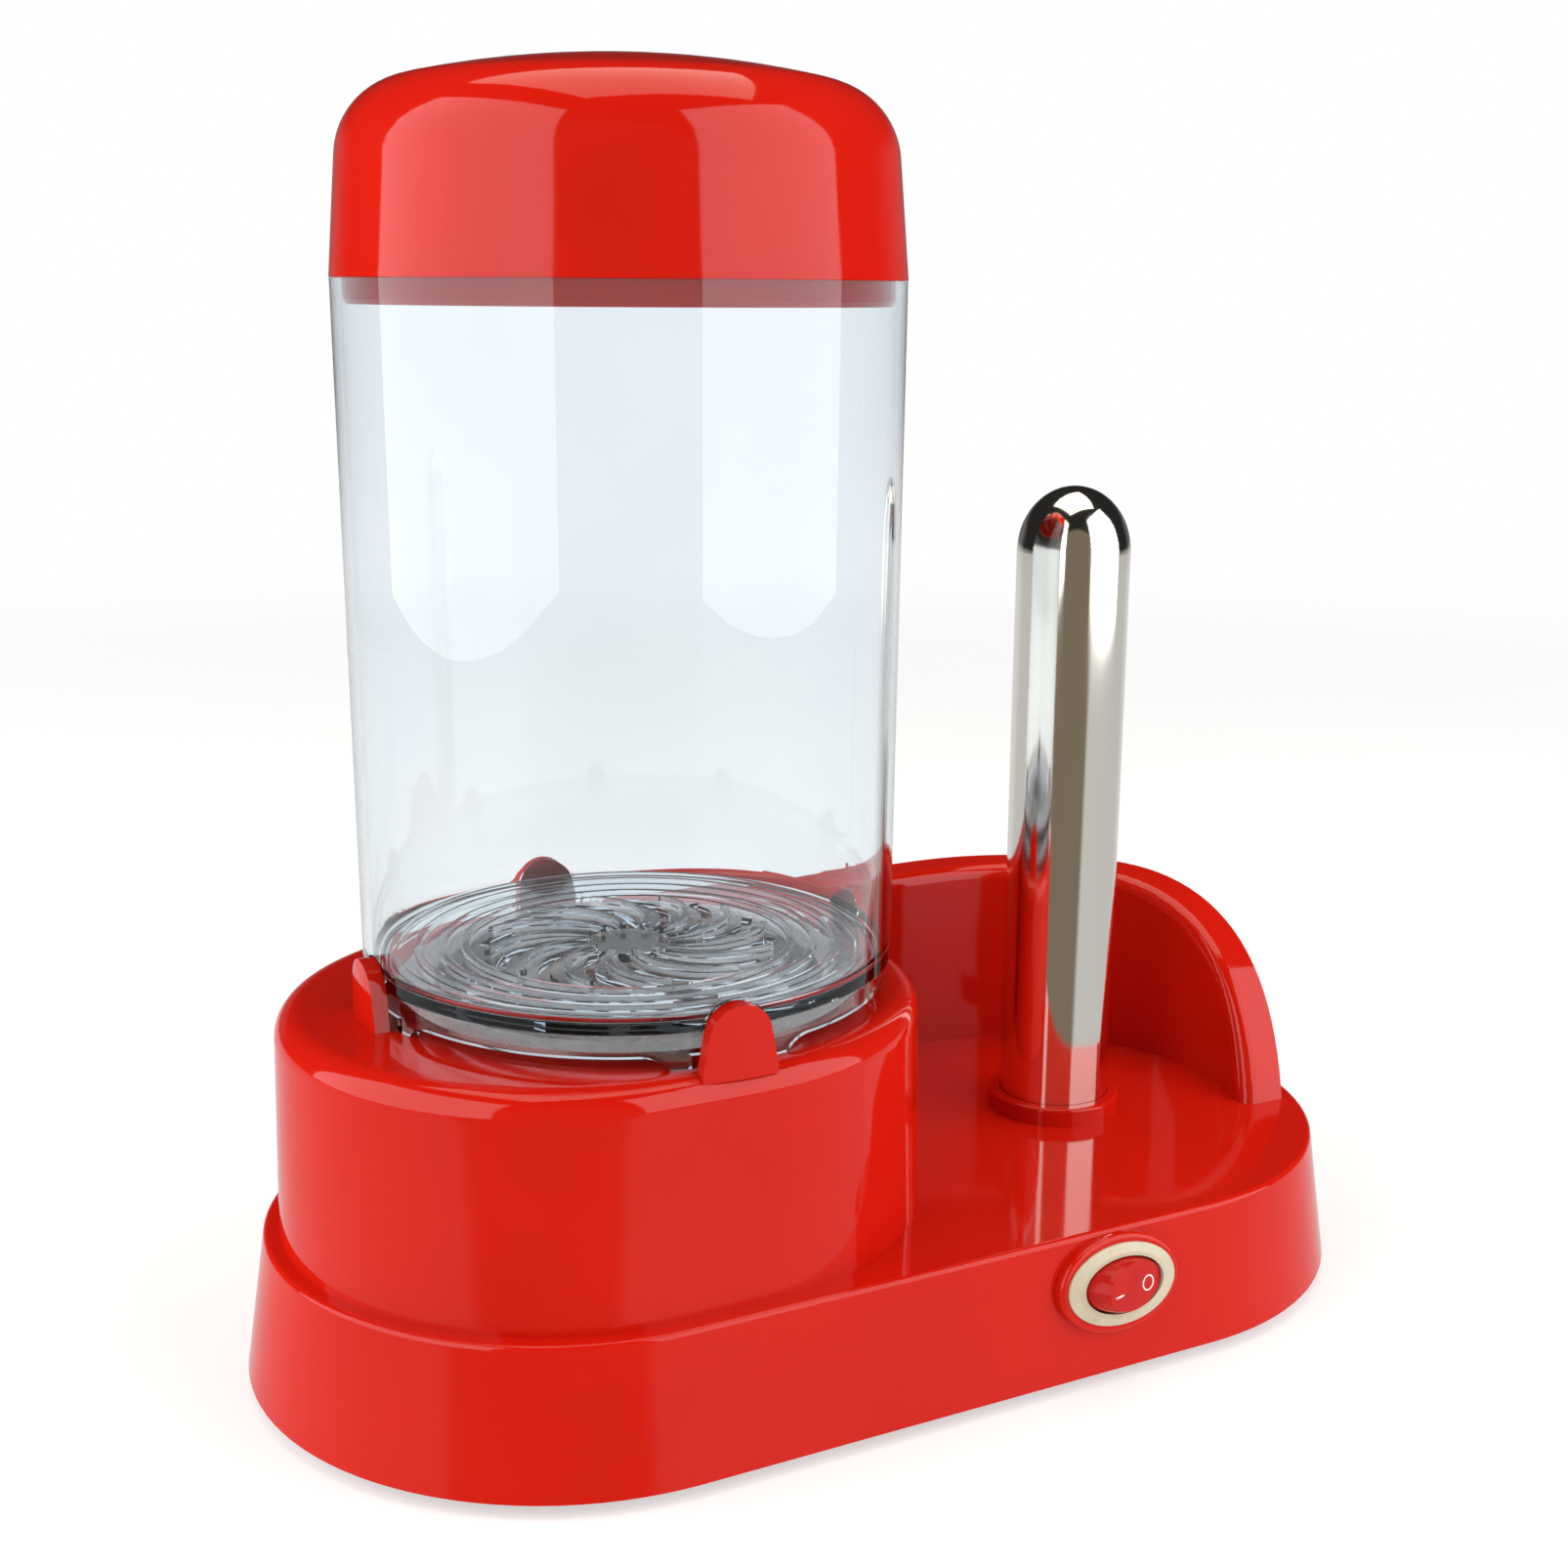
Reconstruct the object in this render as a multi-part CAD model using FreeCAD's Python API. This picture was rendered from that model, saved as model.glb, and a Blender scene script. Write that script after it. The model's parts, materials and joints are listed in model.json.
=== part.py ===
import FreeCAD, Part
import math
import os

# Hot dog toaster: a moulded base carries a steam jar with a lid over a heated
# water dish, and beside it a heated upright spike for the bun.
# Millimetres, +Z up. The origin lies on the table, midway between the two
# round ends of the base. The switch is at the front, on the -Y side.

# Base moulding
end_centre = 62.0
skirt_low_radius = 69.6
platform_radius = 65.0
platform_height = 33.7
foot_height = 3.0
wall = 2.6
platform_edge_round = 1.2

# Drum that carries the jar
drum_left = -62.5
drum_right = -44.0
drum_foot_radius = 61.3
drum_top_radius = 60.1
drum_height = 82.2
drum_shoulder = 5.5

# Arched guard behind the spike
guard_height = 81.0
guard_bay_radius = 49.3
guard_arch_radius = 66.5
guard_arch_front = -23.9
guard_inner_round = 3.5

# Jar
jar_x = -46.9
jar_height = 147.9
jar_rim_radius = 57.5
jar_foot_radius = 56.4
jar_wall = 2.0
jar_bead_rise = 7.7
jar_bead_chamfer = 0.6
jar_skirt_radius = 55.0
jar_floor_thickness = 2.0
jar_floor_drop = 0.5
jar_corner_radius = 3.0
seat_gap = 0.1

# Ring ribs and swirling steam slots in the jar's floor
floor_rib_height = 1.3
floor_rib_width = 1.4
ring_rib_count = 4
ring_rib_outer = 50.0
ring_rib_pitch = 5.0
slot_count = 12
slot_width = 2.4
slot_inner_radius = 9.0
slot_outer_radius = 31.0
slot_sweep = 38.0

# Lid
lid_gap = 0.1
lid_rim_radius = 57.6
lid_height = 42.4
lid_draft_angle = 4.74
lid_corner_radius = 15.85
lid_crown_radius = 195.0
lid_wall = 2.2
lid_shelf = 1.6
lid_plug_depth = 5.0
lid_plug_wall = 1.8
lid_fit = 0.35

# Tabs that hold the jar, and the ears of the jar beside them
tab_angles = (-92.0, 180.0, 88.0, 0.0)
tab_foot_width = 16.0
tab_round_radius = 6.6
tab_height = 13.4
tab_thickness = 3.6
tab_outer_radius = 59.5
tab_play = 0.4
ear_height = 2.7
ear_width = 4.0
ear_blend = 6.5

# Water dish and its heater
dish_well_radius = 44.0
dish_rim_radius = 49.0
dish_radius = 42.5
dish_depth = 15.0
dish_wall = 1.0
dish_corner = 6.0
dish_lip_round = 1.5
gasket_inner_radius = 44.3
gasket_outer_radius = 48.6
gasket_thickness = 1.2
spreader_radius = 34.0
spreader_thickness = 2.5
heater_loop_radius = 26.0
heater_tube_radius = 3.3
heater_gap_angle = 50.0
heater_bend_radius = 6.0
heater_leg_length = 8.0
heater_pin_radius = 1.2
heater_pin_length = 7.0
stud_reach = 12.0
stud_radius = 2.0
stud_length = 15.9
strap_width = 14.0
strap_thickness = 1.5
strap_leg_reach = 46.5
strap_end_reach = 51.0
strap_drop = 24.1
strap_hole_play = 0.3
strap_inner_bend = 0.8
nut_radius = 4.0
nut_height = 3.0
nut_play = 0.05
thermostat_offset = -14.0
thermostat_cap_radius = 8.0
thermostat_cap_height = 3.0
thermostat_body_radius = 6.5
thermostat_height = 9.0
fuse_offset = 13.0
fuse_radius = 2.0
fuse_length = 14.0
fuse_pin_radius = 0.5
fuse_pin_length = 3.0
clip_width = 6.0
clip_thickness = 0.6
clip_foot_length = 3.0

# Bun spike
spike_x = 66.1
spike_radius = 13.1
spike_wall = 0.8
spike_rise = 151.3
spike_tip_height = 15.0
spike_flange_radius = 15.4
collar_radius = 16.0
collar_rise = 4.3
collar_gap = 0.15
collar_boss_depth = 7.1
collar_edge_round = 0.8
seal_thickness = 1.0
clamp_plate_length = 54.0
clamp_plate_width = 30.0
clamp_plate_thickness = 1.5
clamp_plate_corner = 4.0
clamp_plate_hole = 8.0
clamp_screw_spacing = 44.0
clamp_screw_length = 8.0
core_radius = 6.0
core_disc_radius = 11.6
core_disc_thickness = 3.0
core_disc_count = 5
core_length = 141.8

# Rocker switch, in the sloping front wall
switch_x = 36.6
switch_height = 22.4
switch_proud = 2.4
switch_boss_length = 15.4
switch_boss_width = 10.7
switch_boss_round = 1.0
bezel_length = 13.7
bezel_width = 8.8
bezel_edge = 0.5
bezel_rise = 1.4
bezel_rim_length = 11.0
bezel_rim_width = 7.0
opening_length = 10.1
opening_width = 6.15
rocker_reach = 10.0
rocker_half_width = 5.95
rocker_face_height = 5.0
rocker_depth = 4.0
rocker_pivot_depth = 1.6
rocker_rest_tilt = 17.0
trunnion_radius = 1.2
trunnion_reach = 7.7
trunnion_play = 0.05
switch_body_length = 12.0
switch_body_width = 7.9
switch_body_depth = 18.0
switch_pocket_length = 10.9
switch_pocket_width = 6.95
switch_pocket_depth = 8.8
switch_latch_reach = 1.2
switch_latch_length = 2.8
switch_latch_width = 4.0
switch_fit = 0.25
terminal_width = 4.8
terminal_thickness = 0.8
terminal_length = 8.0
terminal_pitch = 9.0

# Bottom plate
plate_recess = 0.6
plate_thickness = 2.4
plate_fit = 0.35
plate_rim_height = 1.8
plate_rim_width = 1.6
post_low = 8.0
post_radius = 4.2
post_cover = 1.2
post_angle = 130.0
middle_posts = ((8.0, -52.0), (24.0, 44.0), (98.0, -26.0), (98.0, 26.0))
cup_radius = 5.5
vent_count = 7
vent_length = 26.0
vent_width = 2.2
vent_pitch = 6.0

# Rubber feet
foot_angle = 68.9
foot_inset = 1.2
foot_radius = 8.0
foot_edge = 1.0
foot_stem_radius = 3.0
foot_recess = 1.0
foot_play = 0.1
foot_barb = 1.0
foot_barb_height = 2.4

# Screws
screw_radius = 1.5
screw_play = 0.05
screw_head_radius = 2.9
screw_head_height = 1.8
screw_length = 10.0
screw_seat = 6.0

# Cord inlet at the back
inlet_x = -5.0
inlet_height = 16.0
gland_radius = 5.5
gland_flange_radius = 7.5
gland_flange = 1.6
gland_length = 8.0
gland_barb = 0.7
gland_barb_length = 1.5
gland_play = 0.1
cord_hole_radius = 3.3

# Cord clamp and terminal block inside
saddle_inset = 17.0
saddle_post_radius = 3.0
saddle_ridge_length = 10.0
saddle_ridge_width = 3.0
clamp_bar_low = 17.7
clamp_bar_length = 24.0
clamp_bar_width = 7.0
clamp_bar_thickness = 3.0
clamp_bar_screw_reach = 9.0
cord_gap = 6.4
block_x = 25.0
block_y = 22.0
block_length = 26.0
block_width = 14.0
block_height = 10.0
block_play = 0.1
block_ways = 3
block_bore_radius = 2.2
block_screw_hole = 1.8
cradle_wall = 1.6
cradle_height = 3.0

# Leads inside the base
lead_radius = 1.1
lead_play = 0.15
lead_pair_offset = 1.2
lead_insert = 3.0
lead_straight = 12.0
core_lead_offset = 3.0
fuse_lead_reach = 7.0


def vec(x, y, z):
    return FreeCAD.Vector(x, y, z)


def polar(radius, degrees, z):
    angle = math.radians(degrees)
    return vec(radius * math.cos(angle), radius * math.sin(angle), z)


def round_bar(radius, z_low, z_high, x=0.0, y=0.0):
    return Part.makeCylinder(radius, z_high - z_low, vec(x, y, z_low))


def ring(outer, inner, z_low, z_high, x=0.0, y=0.0):
    return round_bar(outer, z_low, z_high, x, y).cut(round_bar(inner, z_low - 1, z_high + 1, x, y))


def block(x_low, x_high, y_low, y_high, z_low, z_high):
    return Part.makeBox(x_high - x_low, y_high - y_low, z_high - z_low, vec(x_low, y_low, z_low))


def centred_block(x, y, length, width, z_low, z_high):
    return block(x - length / 2, x + length / 2, y - width / 2, y + width / 2, z_low, z_high)


def capsule(x_left, x_right, r_low, r_high, z_low, z_high):
    """Upright solid with two round ends whose radius changes evenly with height."""
    def outline(radius, z):
        left, right = vec(x_left, 0, z), vec(x_right, 0, z)
        side, end = vec(0, radius, 0), vec(radius, 0, 0)
        front = Part.LineSegment(left - side, right - side).toShape()
        right_end = Part.Arc(right - side, right + end, right + side).toShape()
        back = Part.LineSegment(right + side, left + side).toShape()
        left_end = Part.Arc(left + side, left - end, left - side).toShape()
        return Part.Wire([front, right_end, back, left_end])
    return Part.makeLoft([outline(r_low, z_low), outline(r_high, z_high)], True, True)


def turned(points, x=0.0, y=0.0):
    """Solid of revolution about the upright line through x, y; points are radius and height."""
    wire = Part.makePolygon([vec(r, 0, z) for r, z in points + points[:1]])
    solid = Part.Face(wire).revolve(vec(0, 0, 0), vec(0, 0, 1), 360)
    return moved(solid, x, y, 0)


def turned_edges(edges, x=0.0, y=0.0):
    solid = Part.Face(Part.Wire(edges)).revolve(vec(0, 0, 0), vec(0, 0, 1), 360)
    return moved(solid, x, y, 0)


def line(a, b):
    return Part.LineSegment(vec(a[0], 0, a[1]), vec(b[0], 0, b[1])).toShape()


def arc(a, through, b):
    return Part.Arc(vec(a[0], 0, a[1]), vec(through[0], 0, through[1]), vec(b[0], 0, b[1])).toShape()


def corner_arc(centre, radius, from_degrees, to_degrees):
    """Arc in the plane of radius and height, given by its centre and two directions."""
    places = []
    for degrees in (from_degrees, (from_degrees + to_degrees) / 2, to_degrees):
        angle = math.radians(degrees)
        places.append((centre[0] + radius * math.cos(angle), centre[1] + radius * math.sin(angle)))
    return arc(*places)


def oval(length, width, z_low, z_high):
    """Upright elliptical bar; length and width are half axes along X and Y."""
    ellipse = Part.Ellipse(vec(0, 0, z_low), length, width).toShape()
    return Part.Face(Part.Wire([ellipse])).extrude(vec(0, 0, z_high - z_low))


def moved(shape, x, y, z):
    copy = shape.copy()
    copy.translate(vec(x, y, z))
    return copy


def turned_by(shape, degrees):
    copy = shape.copy()
    copy.rotate(vec(0, 0, 0), vec(0, 0, 1), degrees)
    return copy


def rounded(shape, radius, chosen):
    return shape.makeFillet(radius, [edge for edge in shape.Edges if chosen(edge)])


def at_height(z):
    def chosen(edge):
        box = edge.BoundBox
        return abs(box.ZMin - z) < 0.01 and abs(box.ZMax - z) < 0.01
    return chosen


def fused(shapes):
    return shapes[0].multiFuse(shapes[1:]).removeSplitter()


# Heights and reaches that follow from the sizes above
skirt_slope = math.atan2(skirt_low_radius - platform_radius, platform_height - foot_height)
plate_low = foot_height + plate_recess
plate_high = plate_low + plate_thickness
platform_under = platform_height - wall
drum_under = drum_height - wall
ear_low = drum_height + seat_gap
jar_skirt_low = ear_low + ear_height
jar_bead = ear_low + jar_bead_rise
jar_top = ear_low + jar_height
flange_low = drum_height + gasket_thickness
dish_floor_low = flange_low + dish_wall - dish_depth
spreader_low = dish_floor_low - spreader_thickness
heater_z = spreader_low - heater_tube_radius
strap_low = drum_under - strap_drop
collar_top = platform_height + collar_rise
collar_boss_low = platform_under - collar_boss_depth
spike_top = platform_height + spike_rise
clamp_plate_high = collar_boss_low - seal_thickness - spike_wall
clamp_plate_low = clamp_plate_high - clamp_plate_thickness
lid_low = jar_top + lid_gap
jar_floor_low = jar_bead - jar_floor_drop
jar_floor_top = jar_floor_low + jar_floor_thickness
clamp_screw_places = ((spike_x - clamp_screw_spacing / 2, 0.0), (spike_x + clamp_screw_spacing / 2, 0.0))


def skirt_radius_at(z):
    return skirt_low_radius - (z - foot_height) * math.tan(skirt_slope)


plate_radius = skirt_radius_at(plate_high) - wall - plate_fit
saddle_y = skirt_radius_at(inlet_height) - wall - saddle_inset
saddle_screw_places = ((inlet_x - clamp_bar_screw_reach, saddle_y), (inlet_x + clamp_bar_screw_reach, saddle_y))
# The two posts at the drum's end stand as near the skirt as their cover and the plate's cups allow.
end_post_reach = min(skirt_radius_at(platform_under) - post_cover - post_radius, plate_radius - cup_radius)
end_post = polar(end_post_reach, post_angle, 0)
post_positions = ((end_post.x - end_centre, -end_post.y), (end_post.x - end_centre, end_post.y)) + middle_posts


def on_front_wall(shape, x, height, proud):
    """Moves a piece built face-up at the origin to the front wall, standing proud of it."""
    copy = shape.copy()
    copy.rotate(vec(0, 0, 0), vec(1, 0, 0), 90 - math.degrees(skirt_slope))
    out = vec(0, -math.cos(skirt_slope), math.sin(skirt_slope))
    copy.translate(vec(x, -skirt_radius_at(height), height) + out * proud)
    return copy


def on_back_wall(shape, x, height, proud):
    return turned_by(on_front_wall(shape, -x, height, proud), 180)


def at_switch(shape):
    return on_front_wall(shape, switch_x, switch_height, switch_proud)


def at_tabs(shape):
    """Copies of a piece built on the +X side of the jar's axis, one at each tab."""
    return [moved(turned_by(shape, angle), jar_x, 0, 0) for angle in tab_angles]


def arch_keep(inset):
    """Slab along X that keeps what lies under the guard's arch."""
    rise = guard_arch_radius - (guard_height - platform_height)
    y_centre = guard_arch_front + math.sqrt(guard_arch_radius ** 2 - rise ** 2)
    z_centre = guard_height - guard_arch_radius
    length = 2 * (end_centre + skirt_low_radius)
    disc = Part.makeCylinder(guard_arch_radius - inset, length, vec(-length / 2, y_centre, z_centre), vec(1, 0, 0))
    behind = block(-length / 2, length / 2, y_centre, skirt_low_radius, z_centre, guard_height - inset)
    return disc.fuse(behind).removeSplitter()


def guard_form(inset, base):
    """The guard's bent wall under its arch, drawn in from every outer face by the inset."""
    top = guard_height - inset
    outer = capsule(drum_right, end_centre, drum_foot_radius - inset, drum_top_radius - inset, base, top)
    bay_radius = guard_bay_radius + inset
    bay = capsule(drum_right - 1, end_centre, bay_radius, bay_radius, base - 1, top + 1)
    right_of_drum = block(drum_right, 2 * end_centre, -skirt_low_radius, skirt_low_radius, base, top)
    return outer.cut(bay).common(arch_keep(inset)).common(right_of_drum)


def is_bay_top_edge(edge):
    """True for the upper edge of the guard on the spike's side, along the whole arch."""
    box = edge.BoundBox
    middle = edge.valueAt((edge.FirstParameter + edge.LastParameter) / 2)
    upright = abs(edge.tangentAt(edge.FirstParameter).z) > 0.9999
    if box.ZMax < platform_height + 2 or box.XMax < drum_right + 0.5 or upright:
        return False
    reach = math.hypot(max(middle.x - end_centre, 0), middle.y)
    return abs(reach - guard_bay_radius) < 0.05


def guard():
    return rounded(guard_form(0.0, platform_under), guard_inner_round, is_bay_top_edge)


def tab_face(grow, z_foot, reach):
    """Outline of a tab seen from outside, drawn in the plane X = reach."""
    radius = tab_round_radius + grow
    half = tab_foot_width / 2 + grow
    z_centre = drum_height + tab_height - tab_round_radius
    # The sides run from the foot at the drum's top, tangent to the round head.
    span = math.hypot(half, drum_height - z_centre)
    turn = math.atan2(drum_height - z_centre, half) + math.acos(radius / span)
    y_touch = radius * math.cos(turn)
    z_touch = z_centre + radius * math.sin(turn)
    foot_left, foot_right = vec(reach, -half, drum_height), vec(reach, half, drum_height)
    left, right = vec(reach, -y_touch, z_touch), vec(reach, y_touch, z_touch)
    low_left, low_right = vec(reach, -half, z_foot), vec(reach, half, z_foot)
    head = Part.Arc(right, vec(reach, 0, z_centre + radius), left).toShape()
    sides = [Part.makeLine(low_left, low_right), Part.makeLine(low_right, foot_right),
             Part.makeLine(foot_right, right), head, Part.makeLine(left, foot_left),
             Part.makeLine(foot_left, low_left)]
    return Part.Face(Part.Wire(sides))


def tabs():
    foot = drum_under + 1
    inner = tab_outer_radius - tab_thickness
    bar = tab_face(0.0, foot, inner).extrude(vec(tab_thickness, 0, 0))
    return at_tabs(bar.common(round_bar(tab_outer_radius, foot - 1, drum_height + tab_height + 1)))


def housing_posts():
    """Screw posts under the platform, for the bottom plate and for the spike's clamp plate."""
    posts = [round_bar(post_radius, post_low, platform_under + 1, x, y) for x, y in post_positions]
    posts += [round_bar(post_radius, clamp_plate_high, platform_under + 1, x, y) for x, y in clamp_screw_places]
    return posts


def housing_holes():
    """Bores of the moulding: dish well, spike, switch, cord inlet and screw pilots."""
    holes = [round_bar(dish_well_radius, drum_under - 1, drum_height + 1, jar_x)]
    holes.append(round_bar(spike_radius + collar_gap, collar_boss_low - 1, collar_top + 1, spike_x))
    holes.append(at_switch(oval(switch_body_length + switch_fit, switch_body_width + switch_fit,
                                -switch_body_depth, 1)))
    inlet = round_bar(gland_radius + gland_play, -gland_length, gland_length)
    holes.append(on_back_wall(inlet, inlet_x, inlet_height, 0.0))
    pilot = screw_radius + screw_play
    for x, y in post_positions:
        holes.append(round_bar(pilot, post_low - 1, screw_seat + screw_length + 1, x, y))
    for x, y in clamp_screw_places:
        holes.append(round_bar(pilot, clamp_plate_high - 1, clamp_plate_low + clamp_screw_length + 1, x, y))
    return holes


def main_housing():
    skirt = capsule(-end_centre, end_centre, skirt_low_radius, platform_radius, foot_height, platform_height)
    skirt = rounded(skirt, platform_edge_round, at_height(platform_height))
    drum_outline = capsule(drum_left, drum_right, drum_foot_radius, drum_top_radius, platform_under, drum_height)
    drum = rounded(drum_outline, drum_shoulder, at_height(drum_height))
    collar = round_bar(collar_radius, collar_boss_low, collar_top, spike_x)
    collar = rounded(collar, collar_edge_round, at_height(collar_top))
    pad = oval(switch_boss_length, switch_boss_width, -switch_proud - wall, 0)
    pad = at_switch(rounded(pad, switch_boss_round, at_height(0)))
    shell = fused([skirt, drum, guard()] + tabs())

    under_radius = skirt_radius_at(platform_under) - wall
    under_platform = capsule(-end_centre, end_centre, skirt_low_radius - wall, under_radius,
                             foot_height, platform_under)
    in_drum = capsule(drum_left, drum_right, drum_foot_radius - wall, drum_top_radius - wall,
                      platform_under - 1, drum_under)
    in_drum = rounded(in_drum, drum_shoulder - wall, at_height(drum_under))
    in_guard = guard_form(wall, platform_under - 1).cut(drum_outline)
    for hollow in (under_platform, in_drum, in_guard):
        shell = shell.cut(hollow)
    shell = fused([shell, pad, collar] + housing_posts())
    for hole in housing_holes():
        shell = shell.cut(hole)
    return shell


def foot_places():
    reach = plate_radius - foot_inset - foot_radius
    place = polar(reach, foot_angle, 0)
    return [(side * (end_centre + place.x), turn * place.y) for side in (-1, 1) for turn in (-1, 1)]


def bottom_plate():
    rim_high = plate_high + plate_rim_height
    inner = plate_radius - plate_rim_width
    rim_radius = plate_radius - plate_rim_height * math.tan(skirt_slope)
    rim = capsule(-end_centre, end_centre, plate_radius, rim_radius, plate_high, rim_high)
    raised = [rim.cut(capsule(-end_centre, end_centre, inner, inner, plate_high - 1, rim_high + 1))]
    raised += [round_bar(cup_radius, plate_high, post_low, x, y) for x, y in post_positions]
    raised += [round_bar(saddle_post_radius, plate_high, clamp_bar_low, x, y) for x, y in saddle_screw_places]
    raised.append(centred_block(inlet_x, saddle_y, saddle_ridge_length, saddle_ridge_width,
                                plate_high, clamp_bar_low - cord_gap))
    cradle = centred_block(block_x, block_y, block_length + 2 * cradle_wall, block_width + 2 * cradle_wall,
                           plate_high, plate_high + cradle_height)
    raised.append(cradle.cut(centred_block(block_x, block_y, block_length + 2 * block_play,
                                           block_width + 2 * block_play, plate_high - 1, post_low + 2)))
    plate = fused([capsule(-end_centre, end_centre, plate_radius, plate_radius, plate_low, plate_high)] + raised)
    for hole in plate_holes():
        plate = plate.cut(hole)
    return plate


def plate_holes():
    holes = []
    for x, y in post_positions:
        holes.append(round_bar(screw_head_radius + 0.4, plate_low - 1, screw_seat, x, y))
        holes.append(round_bar(screw_radius + 0.3, plate_low, post_low + 1, x, y))
    for x, y in saddle_screw_places:
        holes.append(round_bar(screw_radius + screw_play, plate_high + 1, clamp_bar_low + 1, x, y))
    for x, y in foot_places():
        holes.append(round_bar(foot_radius + foot_play, plate_low - 1, plate_low + foot_recess, x, y))
        holes.append(round_bar(foot_stem_radius + foot_play, plate_low, plate_high + 1, x, y))
    for row in range(vent_count):
        x = jar_x + (row - (vent_count - 1) / 2) * vent_pitch
        holes.append(centred_block(x, 0, vent_width, vent_length, plate_low - 1, plate_high + 1))
    return holes


def rubber_foot(x, y):
    """Push-in foot: a pad, a stem through the plate and a barb above it."""
    pad_top = plate_low + foot_recess
    stem_top = plate_high + foot_play
    barb_radius = foot_stem_radius + foot_barb
    return turned([(0, 0), (foot_radius - foot_edge, 0), (foot_radius, foot_edge), (foot_radius, pad_top),
                   (foot_stem_radius, pad_top), (foot_stem_radius, stem_top), (barb_radius, stem_top),
                   (foot_stem_radius - foot_edge, stem_top + foot_barb_height),
                   (0, stem_top + foot_barb_height)], x, y)


def screw(x, y, seat, length, up):
    """Pan-head screw; up is 1 where it is driven upwards and -1 where it is driven down."""
    crown = screw_head_radius - 0.7
    shape = [(0, -screw_head_height), (crown, -screw_head_height), (screw_head_radius, 0.8 - screw_head_height),
             (screw_head_radius, 0), (screw_radius, 0), (screw_radius, length - screw_radius), (0, length)]
    return turned([(r, seat + up * (z - screw_play)) for r, z in shape], x, y)


def base_screws():
    return Part.makeCompound([screw(x, y, screw_seat, screw_length, 1) for x, y in post_positions])


def water_dish():
    rim_top = flange_low + dish_wall
    inner = dish_radius - dish_wall
    lip = (dish_radius + dish_lip_round - dish_wall, rim_top - dish_lip_round)
    bend = (dish_radius - dish_corner, dish_floor_low + dish_corner)
    edges = [line((0, dish_floor_low), (bend[0], dish_floor_low)),
             corner_arc(bend, dish_corner, -90, 0),
             line((dish_radius, bend[1]), (dish_radius, lip[1])),
             corner_arc(lip, dish_lip_round - dish_wall, 180, 90),
             line((lip[0], flange_low), (dish_rim_radius, flange_low)),
             line((dish_rim_radius, flange_low), (dish_rim_radius, rim_top)),
             line((dish_rim_radius, rim_top), (lip[0], rim_top)),
             corner_arc(lip, dish_lip_round, 90, 180),
             line((inner, lip[1]), (inner, bend[1])),
             corner_arc(bend, dish_corner - dish_wall, 0, -90),
             line((bend[0], dish_floor_low + dish_wall), (0, dish_floor_low + dish_wall)),
             line((0, dish_floor_low + dish_wall), (0, dish_floor_low))]
    return turned_edges(edges, jar_x)


def dish_gasket():
    return ring(gasket_outer_radius, gasket_inner_radius, drum_height, flange_low, jar_x)


def heat_spreader():
    disc = round_bar(spreader_radius, spreader_low, dish_floor_low, jar_x)
    disc = rounded(disc, 0.6, at_height(spreader_low))
    studs = [round_bar(stud_radius, spreader_low - stud_length, spreader_low + 0.5, jar_x, y)
             for y in (-stud_reach, stud_reach)]
    return fused([disc] + studs)


def heater_leg(degrees, way):
    """One end of the heater: a quarter bend down from the ring, a straight leg and a pin."""
    start = polar(heater_loop_radius, degrees, heater_z)
    heading = polar(1, degrees + 90 * way, 0)
    section = Part.Face(Part.Wire([Part.makeCircle(heater_tube_radius, start, heading)]))
    centre = start - vec(0, 0, heater_bend_radius)
    bend = section.revolve(centre, vec(0, 0, 1).cross(heading), 90)
    leg_top = centre + heading * heater_bend_radius
    leg_foot = leg_top - vec(0, 0, heater_leg_length)
    leg = Part.makeCylinder(heater_tube_radius, heater_leg_length, leg_top, vec(0, 0, -1))
    pin = Part.makeCylinder(heater_pin_radius, heater_pin_length + 1, leg_foot + vec(0, 0, 1), vec(0, 0, -1))
    return [bend, leg, pin]


def dish_heater():
    half_gap = heater_gap_angle / 2
    start = polar(heater_loop_radius, half_gap, heater_z)
    section = Part.Face(Part.Wire([Part.makeCircle(heater_tube_radius, start, polar(1, half_gap + 90, 0))]))
    hoop = section.revolve(vec(0, 0, 0), vec(0, 0, 1), 360 - heater_gap_angle)
    pieces = [hoop] + heater_leg(half_gap, -1) + heater_leg(-half_gap, 1)
    return moved(fused(pieces), jar_x, 0, 0)


def dish_strap():
    """Hat-shaped strip that hangs from the drum's top and pulls the dish down on its studs."""
    def outline(grow):
        leg = strap_leg_reach - grow
        low = strap_low + grow
        shelf = drum_under - strap_thickness + grow
        return [(-strap_end_reach, shelf), (-leg, shelf), (-leg, low), (leg, low), (leg, shelf),
                (strap_end_reach, shelf)]
    under = outline(0.0)
    over = outline(strap_thickness)
    points = [vec(-strap_width / 2, y, z) for y, z in under + over[::-1]]
    strip = Part.Face(Part.makePolygon(points + points[:1])).extrude(vec(strap_width, 0, 0))
    outer_corners = under[2:4] + [over[1], over[4]]
    inner_corners = over[2:4] + [under[1], under[4]]
    strip = rounded(strip, strap_inner_bend + strap_thickness, along_x_at(outer_corners))
    strip = rounded(strip, strap_inner_bend, along_x_at(inner_corners))
    for y in (-stud_reach, stud_reach):
        strip = strip.cut(round_bar(stud_radius + strap_hole_play, strap_low - 1, strap_low + 3, 0, y))
    return moved(strip, jar_x, 0, 0)


def along_x_at(corners):
    def chosen(edge):
        box = edge.BoundBox
        straight = box.YLength < 0.01 and box.ZLength < 0.01
        return straight and any(abs(box.YMin - y) < 0.02 and abs(box.ZMin - z) < 0.02 for y, z in corners)
    return chosen


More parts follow.
